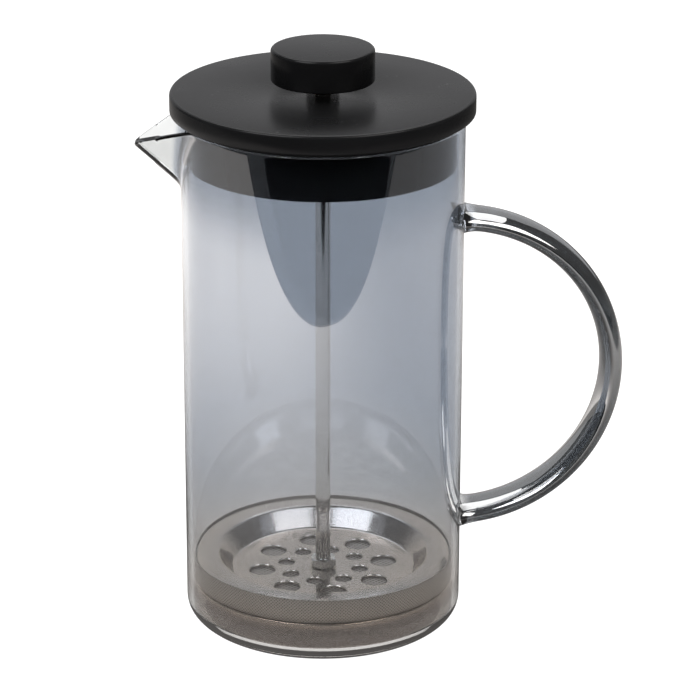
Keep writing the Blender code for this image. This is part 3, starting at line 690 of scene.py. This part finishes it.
def black_plastic(name, edge_radius, edge_height):
    """Satin black moulding whose outer top edge, at a radius and height in mm, is worn."""
    finish, shader = new_finish(name, IOR=1.33)
    place = node(finish, "ShaderNodeTexCoord").outputs["Object"]
    grain = node(finish, "ShaderNodeTexNoise", {"Vector": place, "Scale": 2600.0, "Detail": 2.0})
    patches = node(finish, "ShaderNodeTexNoise", {"Vector": place, "Scale": 38.0, "Detail": 4.0})
    specks = node(finish, "ShaderNodeTexVoronoi", {"Vector": place, "Scale": 420.0,
                                                   "Randomness": 1.0})
    near = node(finish, "ShaderNodeMath", {0: specks.outputs["Distance"], 1: 0.16},
                operation="LESS_THAN")
    pickiness = node(finish, "ShaderNodeTexNoise", {"Vector": place, "Scale": 95.0, "Detail": 1.0})
    some = node(finish, "ShaderNodeMath", {0: pickiness.outputs["Fac"], 1: 0.66},
                operation="GREATER_THAN")
    dust = node(finish, "ShaderNodeMath", {0: near.outputs[0], 1: some.outputs[0]},
                operation="MULTIPLY")
    facing = node(finish, "ShaderNodeNewGeometry").outputs["Normal"]
    up = node(finish, "ShaderNodeSeparateXYZ", {"Vector": facing})
    on_top = node(finish, "ShaderNodeMapRange", {"Value": up.outputs["Z"], "From Min": 0.8,
                                                 "From Max": 1.0})
    settled = node(finish, "ShaderNodeMath", {0: dust.outputs[0], 1: on_top.outputs[0]},
                   operation="MULTIPLY")
    body = node(finish, "ShaderNodeMixRGB", {"Fac": patches.outputs["Fac"], "Color1": BLACK,
                                             "Color2": FADED_BLACK})
    dusty = node(finish, "ShaderNodeMixRGB", {"Fac": settled.outputs[0], "Color1": body.outputs[0],
                                              "Color2": DUST})
    corner = (edge_radius * MM, 0.0, edge_height * MM)
    spot = node(finish, "ShaderNodeSeparateXYZ", {"Vector": place})
    flat = node(finish, "ShaderNodeVectorMath", {0: place, 1: (1, 1, 0)}, operation="MULTIPLY")
    radius = node(finish, "ShaderNodeVectorMath", {0: flat.outputs[0]}, operation="LENGTH")
    section = node(finish, "ShaderNodeCombineXYZ", {"X": radius.outputs["Value"],
                                                    "Z": spot.outputs["Z"]})
    far = node(finish, "ShaderNodeVectorMath", {0: section.outputs[0], 1: corner},
               operation="DISTANCE")
    edge = node(finish, "ShaderNodeMapRange", {"Value": far.outputs["Value"], "From Min": 0.3 * MM,
                                               "From Max": 1.3 * MM, "To Min": 0.7, "To Max": 0.0})
    worn = node(finish, "ShaderNodeMixRGB", {"Fac": edge.outputs[0], "Color1": dusty.outputs[0],
                                             "Color2": WORN_BLACK})
    satin = node(finish, "ShaderNodeMapRange", {"Value": patches.outputs["Fac"], "From Min": 0.3,
                                                "From Max": 0.7, "To Min": 0.25, "To Max": 0.32})
    sleek = node(finish, "ShaderNodeMath",
                 {0: on_top.outputs[0], 1: 1.0 - SIDE_SHARE, 2: SIDE_SHARE},
                 operation="MULTIPLY_ADD")
    upright = node(finish, "ShaderNodeMath", {0: satin.outputs[0], 1: sleek.outputs[0]},
                   operation="MULTIPLY")
    rough = node(finish, "ShaderNodeMixRGB", {"Fac": edge.outputs[0], "Color1": upright.outputs[0],
                                              "Color2": (0.20, 0.20, 0.20, 1)})
    relief = node(finish, "ShaderNodeBump", {"Height": grain.outputs["Fac"], "Strength": 0.15,
                                             "Distance": 0.00004})
    gloss = node(finish, "ShaderNodeMapRange", {"Value": on_top.outputs[0], "To Min": SIDE_GLOSS,
                                                "To Max": TOP_GLOSS})
    wire(shader, {"Base Color": worn.outputs[0], "Roughness": rough.outputs[0],
                  "Specular IOR Level": gloss.outputs[0], "Normal": relief.outputs[0]})
    return finish


lid_plastic = black_plastic("lid_plastic", LID_RADIUS, LID_TOP)
skirt_plastic = black_plastic("skirt_plastic", SKIRT_RADIUS, SKIRT_FOOT)
fit(lid_shell, "lid", ["lid_cover"], lid_plastic)
fit(lid_skirt, "lid", ["lid_insert"], skirt_plastic)

# %% [markdown]
# ## The knob
#
# The knob is a flat drum with a crowned edge. Under it a neck stands on the lid, and the hollow
# round the neck keeps the moulding's walls even, so that it cools without a dimple on top.

# %% Throw the knob
KNOB_RADIUS = 16.75
KNOB_TOP = 196.2
KNOB_FOOT = 185.5
NECK_RADIUS = 5.04
NECK_FOOT = 182.1
KNOB_INNER = 14.25
HOLLOW_TOP = 193.7
NECK_BORE = 4.04
BORE_TOP = 192.0

knob_plastic = black_plastic("knob_plastic", KNOB_RADIUS, KNOB_TOP)
knob_cap = throw("knob_cap", [
    (0, KNOB_TOP), (KNOB_RADIUS, KNOB_TOP), (KNOB_RADIUS, KNOB_FOOT), (KNOB_INNER, KNOB_FOOT),
    (KNOB_INNER, HOLLOW_TOP), (NECK_RADIUS, HOLLOW_TOP), (NECK_RADIUS, NECK_FOOT),
    (NECK_BORE, NECK_FOOT), (NECK_BORE, BORE_TOP), (0, BORE_TOP)], 120, [
    (KNOB_RADIUS, KNOB_TOP, 1.1, 5), (KNOB_RADIUS, KNOB_FOOT, 0.5, 3),
    (NECK_RADIUS, NECK_FOOT, 0.25, 2)])
fit(knob_cap, "plunger", ["knob"], knob_plastic)

# %% [markdown]
# ## The rod, its bush and its nut
#
# The rod is drawn bar with a rolled thread at each end. A true helix would be hidden inside the
# knob, the nut and the boss, so each thread is a stack of rings at the thread's pitch, raised in
# the same throw. The bush in the lid keeps the rod upright. The nut starts as a chamfered disc
# that is cut to six flats, which gives the curved corners that real nuts have.

# %% Throw the rod and the bush
THREAD_PITCH = 0.8
THREAD_ROOT = 2.06
THREAD_CREST = 2.42
ROD_RADIUS = 2.5
ROD_FOOT = 11.1
ROD_TOP = 190.6
LOW_THREAD_START = 11.5
THREAD_START = 182.4
BUSH_BORE = 2.8
BUSH_RADIUS = 4.2
BUSH_FOOT = 172.5
BUSH_TOP = 181.6
BUSH_FLANGE = 6.3
BUSH_SEAT = 173.4

low_thread = [(radius, LOW_THREAD_START + THREAD_PITCH * turn + lift) for turn in range(8)
              for radius, lift in ((THREAD_ROOT, 0.3), (THREAD_CREST, 0.7))]
high_thread = [(radius, THREAD_START + THREAD_PITCH * turn + lift) for turn in range(9)
               for radius, lift in ((THREAD_ROOT, 0.3), (THREAD_CREST, 0.7))]
rod = throw("plunger_rod", [(0, ROD_FOOT), (1.84, ROD_FOOT)] + low_thread + [
    (THREAD_ROOT, 18.2), (THREAD_ROOT, 18.55), (ROD_RADIUS, 18.75), (ROD_RADIUS, 100.0),
    (ROD_RADIUS, THREAD_START)] + high_thread + [
    (THREAD_ROOT, 190.0), (1.9, ROD_TOP), (0, ROD_TOP)], 40)
bush = throw("guide_bush", [
    (BUSH_BORE, BUSH_FOOT), (BUSH_FLANGE, BUSH_FOOT), (BUSH_FLANGE, BUSH_SEAT),
    (BUSH_RADIUS, BUSH_SEAT),
    (BUSH_RADIUS, BUSH_TOP), (BUSH_BORE, BUSH_TOP)], 48, [
    (BUSH_FLANGE, BUSH_FOOT, 0.2, 2), (BUSH_FLANGE, BUSH_SEAT, 0.2, 2),
    (BUSH_RADIUS, BUSH_TOP, 0.3, 2),
    (BUSH_BORE, BUSH_FOOT, 0.25, 2)])

# %% Cut the nut to its flats
NUT_BORE = 2.54
NUT_FACE = 3.95
NUT_CORNER = 4.62
NUT_LOW = 15.45
NUT_HIGH = 18.35
NUT_MIDDLE = 16.9
CHAMFER_LOW = 15.85
CHAMFER_HIGH = 17.95
ACROSS_FLATS = 8.0 * MM
NUT_TURN = math.radians(4.0)

nut = throw("hex_nut", [
    (NUT_BORE, NUT_LOW), (NUT_FACE, NUT_LOW), (NUT_CORNER, CHAMFER_LOW), (NUT_CORNER, CHAMFER_HIGH),
    (NUT_FACE, NUT_HIGH), (NUT_BORE, NUT_HIGH)], 72, [
    (NUT_BORE, NUT_HIGH, 0.25, 2), (NUT_BORE, NUT_LOW, 0.25, 2)])
let_go()
bpy.ops.mesh.primitive_cylinder_add(vertices=6, radius=ACROSS_FLATS / 2 / math.cos(math.pi / 6),
                                    depth=6 * MM, location=(0, 0, NUT_MIDDLE * MM))
flats = bpy.context.object
flats.rotation_euler.z = NUT_TURN
bpy.ops.object.transform_apply(location=True, rotation=True, scale=True)
boolean(nut, flats, "INTERSECT")

# %% [markdown]
# ## The filter
#
# Two perforated steel plates clamp a cup of woven wire, and a garter spring inside the cup's edge
# presses it against the glass. The plates are thrown with their dish and lip. One punch is thrown
# with a flared shoulder, so that each hole gets the small rolled-in edge that a punch leaves, and
# the punch is copied round each pitch circle before the plate is cut once.

# %% A punch that is copied round a pitch circle


def pierce(piece, low, top, rings):
    """Punch rings of holes, (pitch radius, radius, count, phase in degrees), through a plate."""
    punches = []
    for pitch, radius, count, phase in rings:
        for index in range(count):
            if index == 0:
                punch = throw("punch", [(0, low - 1), (radius, low - 1), (radius, top - 0.25),
                                        (radius + 0.45, top + 0.2), (0, top + 0.2)], 36)
                bpy.ops.object.mode_set(mode="EDIT")
                bpy.ops.mesh.select_all(action="SELECT")
                angle = math.radians(phase)
                bpy.ops.transform.translate(value=(pitch * MM * math.cos(angle),
                                                   pitch * MM * math.sin(angle), 0))
                bpy.ops.object.mode_set(mode="OBJECT")
                punches.append(punch)
                continue
            let_go()
            punches[-1].select_set(True)
            bpy.context.view_layer.objects.active = punches[-1]
            bpy.ops.object.duplicate()
            punches.append(bpy.context.object)
            bpy.ops.object.mode_set(mode="EDIT")
            bpy.ops.mesh.select_all(action="SELECT")
            bpy.ops.transform.rotate(value=math.tau / count, orient_axis="Z",
                                     center_override=(0, 0, 0))
            bpy.ops.object.mode_set(mode="OBJECT")
    let_go()
    for punch in punches:
        punch.select_set(True)
    bpy.context.view_layer.objects.active = punches[0]
    bpy.ops.object.join()
    boolean(piece, punches[0], "DIFFERENCE")


# %% Press and punch the plates
PLATE_RADIUS = 42.75
ROD_HOLE = 2.54
BOSS_HOLE = 4.84
DISH_UNDER = 14.35
DISH_FLOOR = 15.15
RIM_UNDER = 20.95
RIM_TOP = 21.75
SLOPE_FOOT = 30.55
SLOPE_FOOT_UNDER = 30.96
SLOPE_TOP = 35.35
SLOPE_TOP_UNDER = 35.76
BACK_FOOT = 11.6
BACK_UNDER = 12.6
BACK_TOP = 13.4
HEM_INNER = 41.95

dish = throw("dish_plate", [
    (ROD_HOLE, DISH_UNDER), (SLOPE_FOOT_UNDER, DISH_UNDER), (SLOPE_TOP_UNDER, RIM_UNDER),
    (PLATE_RADIUS, RIM_UNDER), (PLATE_RADIUS, RIM_TOP), (SLOPE_TOP, RIM_TOP),
    (SLOPE_FOOT, DISH_FLOOR), (ROD_HOLE, DISH_FLOOR)], 160, [
    (SLOPE_FOOT, DISH_FLOOR, 0.7, 4), (SLOPE_TOP, RIM_TOP, 0.8, 4),
    (SLOPE_FOOT_UNDER, DISH_UNDER, 0.8, 4), (SLOPE_TOP_UNDER, RIM_UNDER, 0.5, 3),
    (PLATE_RADIUS, RIM_TOP, 0.3, 3),
    (PLATE_RADIUS, RIM_UNDER, 0.2, 2)])
pierce(dish, DISH_UNDER, DISH_FLOOR, [(20.75, 4.3, 8, 6.0), (12.68, 2.75, 8, 28.5)])
back = throw("back_plate", [
    (BOSS_HOLE, BACK_UNDER), (HEM_INNER, BACK_UNDER), (HEM_INNER, BACK_FOOT),
    (PLATE_RADIUS, BACK_FOOT),
    (PLATE_RADIUS, BACK_TOP), (BOSS_HOLE, BACK_TOP)], 160, [
    (PLATE_RADIUS, BACK_TOP, 0.5, 3), (PLATE_RADIUS, BACK_FOOT, 0.2, 2),
    (HEM_INNER, BACK_FOOT, 0.2, 2)])
pierce(back, BACK_UNDER, BACK_TOP, [(27.75, 6.5, 8, 6.0), (14.75, 2.75, 7, 6.0)])

# %% Fold the wire cup and turn the boss
CUP_RADIUS = 43.4
CUP_INNER = 43.05
CUP_FOOT = 13.7
CUP_TOP = 22.25
CUP_FLOOR = 14.05
BOSS_FOOT = 10.8
BOSS_TOP = 14.05
BOSS_RADIUS = 4.54
BOSS_FLANGE = 7.04
BOSS_SEAT = 12.3

cup = throw("wire_mesh", [
    (BOSS_HOLE, CUP_FOOT), (CUP_RADIUS, CUP_FOOT), (CUP_RADIUS, CUP_TOP), (CUP_INNER, CUP_TOP),
    (CUP_INNER, CUP_FLOOR), (BOSS_HOLE, CUP_FLOOR)], 240, [
    (CUP_RADIUS, CUP_FOOT, 1.4, 5), (CUP_INNER, CUP_FLOOR, 1.05, 5),
    (CUP_RADIUS, CUP_TOP, 0.15, 2)])
boss = throw("screw_boss", [
    (ROD_HOLE, BOSS_FOOT), (BOSS_FLANGE, BOSS_FOOT), (BOSS_FLANGE, BOSS_SEAT),
    (BOSS_RADIUS, BOSS_SEAT), (BOSS_RADIUS, BOSS_TOP),
    (ROD_HOLE, BOSS_TOP)], 64, [
    (BOSS_FLANGE, BOSS_FOOT, 0.4, 3), (BOSS_FLANGE, BOSS_SEAT, 0.2, 2),
    (ROD_HOLE, BOSS_FOOT, 0.3, 2)])

# %% [markdown]
# ### Steel, four ways
#
# The rod, the bush and the boss are drawn, which leaves fine lines along them. The nut is plated,
# so it is paler. The plates are pressed from rolled sheet, which is duller and cloudy. The cup is
# woven from fine wire. Its weave is a relief of two crossing waves, on the turn round the axis at
# the side and on the flat place below, and the hollows between the wires are coloured near black
# as painted shade. All are metal, so the colour is in the reflection, and most of the look comes
# from roughness.

# %% Mix the drawn and the pressed steel


def steel(name, colour, low_rough, high_rough, stretch, relief_height):
    """Bare steel whose roughness and scratches follow a stretched grain."""
    finish, shader = new_finish(name, Metallic=1.0)
    place = node(finish, "ShaderNodeTexCoord").outputs["Object"]
    pulled = node(finish, "ShaderNodeMapping", {"Vector": place, "Scale": stretch})
    lines = node(finish, "ShaderNodeTexNoise", {"Vector": pulled.outputs[0], "Scale": 1.0,
                                                "Detail": 4.0})
    clouds = node(finish, "ShaderNodeTexNoise", {"Vector": place, "Scale": 70.0, "Detail": 5.0})
    mixed = node(finish, "ShaderNodeMath", {0: lines.outputs["Fac"], 1: clouds.outputs["Fac"]},
                 operation="ADD")
    rough = node(finish, "ShaderNodeMapRange", {
        "Value": mixed.outputs[0], "From Min": 0.7, "From Max": 1.3,
        "To Min": low_rough, "To Max": high_rough})
    dull = tuple(0.80 * c for c in colour)
    shade = node(finish, "ShaderNodeMixRGB", {"Fac": clouds.outputs["Fac"], "Color1": (*dull, 1),
                                              "Color2": (*colour, 1)})
    relief = node(finish, "ShaderNodeBump", {"Height": lines.outputs["Fac"], "Strength": 0.05,
                                             "Distance": relief_height})
    wire(shader, {"Base Color": shade.outputs[0], "Roughness": rough.outputs[0],
                  "Normal": relief.outputs[0]})
    return finish


plated_steel = steel("plated_steel", (0.96, 0.94, 0.90), 0.16, 0.28, (1400, 1400, 1400), 0.00001)
drawn_steel = steel("drawn_steel", (0.80, 0.77, 0.73), 0.06, 0.12, (2600, 2600, 30), 0.00002)
pressed_steel = steel("pressed_steel", (0.80, 0.745, 0.69), 0.11, 0.20, (900, 900, 900), 0.00001)
spring_steel = steel("spring_steel", (0.60, 0.59, 0.58), 0.18, 0.30, (1500, 1500, 1500), 0.00001)
brass = steel("brass", (0.78, 0.57, 0.27), 0.18, 0.34, (1200, 1200, 60), 0.00001)

# %% Weave the wire cup's finish
weave, weave_shader = new_finish("woven_wire", Metallic=1.0)
place = node(weave, "ShaderNodeTexCoord").outputs["Object"]
split = node(weave, "ShaderNodeSeparateXYZ", {"Vector": place})
turn = node(weave, "ShaderNodeMath", {0: split.outputs["Y"], 1: split.outputs["X"]},
            operation="ARCTAN2")
along = node(weave, "ShaderNodeMath", {0: turn.outputs[0], 1: CUP_RADIUS * MM},
             operation="MULTIPLY")
facing = node(weave, "ShaderNodeSeparateXYZ",
              {"Vector": node(weave, "ShaderNodeNewGeometry").outputs["Normal"]})
steep = node(weave, "ShaderNodeMath", {0: facing.outputs["Z"]}, operation="ABSOLUTE")
flat = node(weave, "ShaderNodeMath", {0: steep.outputs[0], 1: 0.7}, operation="GREATER_THAN")
rolled = node(weave, "ShaderNodeCombineXYZ", {"X": along.outputs[0], "Y": split.outputs["Z"]})
opened = node(weave, "ShaderNodeVectorMath", {0: place, "Scale": 0.6}, operation="SCALE")
spread = node(weave, "ShaderNodeMixRGB", {"Fac": flat.outputs[0], "Color1": rolled.outputs[0],
                                          "Color2": opened.outputs[0]})
slanted = node(weave, "ShaderNodeMapping", {"Vector": spread.outputs[0],
                                            "Rotation": (0, 0, math.radians(45)),
                                            "Scale": (1, 1, 0)})

# %% Cross two waves for the wires, with painted shade in the hollows between them
WIRE_PITCH = 0.80 * MM
WAVE_PERIOD = 0.314

strands = []
for direction in ("X", "Y"):
    wave = node(weave, "ShaderNodeTexWave", {"Vector": slanted.outputs[0],
                                             "Scale": WAVE_PERIOD / WIRE_PITCH},
                bands_direction=direction, wave_profile="SIN")
    strands.append(wave.outputs["Fac"])
shaded_hollows = node(weave, "ShaderNodeMath", {0: strands[0], 1: strands[1]}, operation="MULTIPLY")
clouds = node(weave, "ShaderNodeTexNoise", {"Vector": place, "Scale": 55.0, "Detail": 4.0})
# The hollows between the wires get a near-black colour: painted shade
shade = node(weave, "ShaderNodeMixRGB", {"Fac": shaded_hollows.outputs[0], "Color1": (0.52, 0.50, 0.47, 1),
                                         "Color2": (0.07, 0.065, 0.06, 1)})
faint = node(weave, "ShaderNodeMath", {0: clouds.outputs["Fac"], 1: 0.35}, operation="MULTIPLY")
stained = node(weave, "ShaderNodeMixRGB", {"Fac": faint.outputs[0], "Color1": shade.outputs[0],
                                           "Color2": (0.30, 0.27, 0.24, 1)})
rough = node(weave, "ShaderNodeMapRange", {"Value": shaded_hollows.outputs[0], "To Min": 0.34,
                                           "To Max": 0.6})
relief = node(weave, "ShaderNodeBump",
              {"Height": shaded_hollows.outputs[0], "Strength": 0.8, "Distance": 0.0001}, invert=True)
wire(weave_shader, {"Base Color": stained.outputs[0], "Roughness": rough.outputs[0],
                    "Normal": relief.outputs[0]})

# %% Put the steel pieces in place
fit(rod, "plunger", ["rod"], drawn_steel)
fit(bush, "lid", ["rod_bush"], drawn_steel)
fit(nut, "filter", ["lock_nut"], plated_steel, 30.0)
fit(dish, "filter", ["upper_plate"], pressed_steel)
fit(back, "filter", ["lower_plate"], pressed_steel)
fit(cup, "filter", ["mesh_screen"], weave)
fit(boss, "filter", ["threaded_boss"], drawn_steel)

# %% [markdown]
# ## Pieces that keep their engineering shape
#
# The garter spring, the push-on ring and the knob's brass insert are already right in the model,
# and they are seen only when the press is taken apart, so they stay and get a better finish.

# %% Refinish the kept pieces
for name, finish in (("spring_coil", spring_steel), ("bush_retainer", spring_steel),
                     ("knob_insert", brass)):
    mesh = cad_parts[name].data
    mesh.materials.clear()
    mesh.materials.append(finish)
    print(name, "now wears", finish.name)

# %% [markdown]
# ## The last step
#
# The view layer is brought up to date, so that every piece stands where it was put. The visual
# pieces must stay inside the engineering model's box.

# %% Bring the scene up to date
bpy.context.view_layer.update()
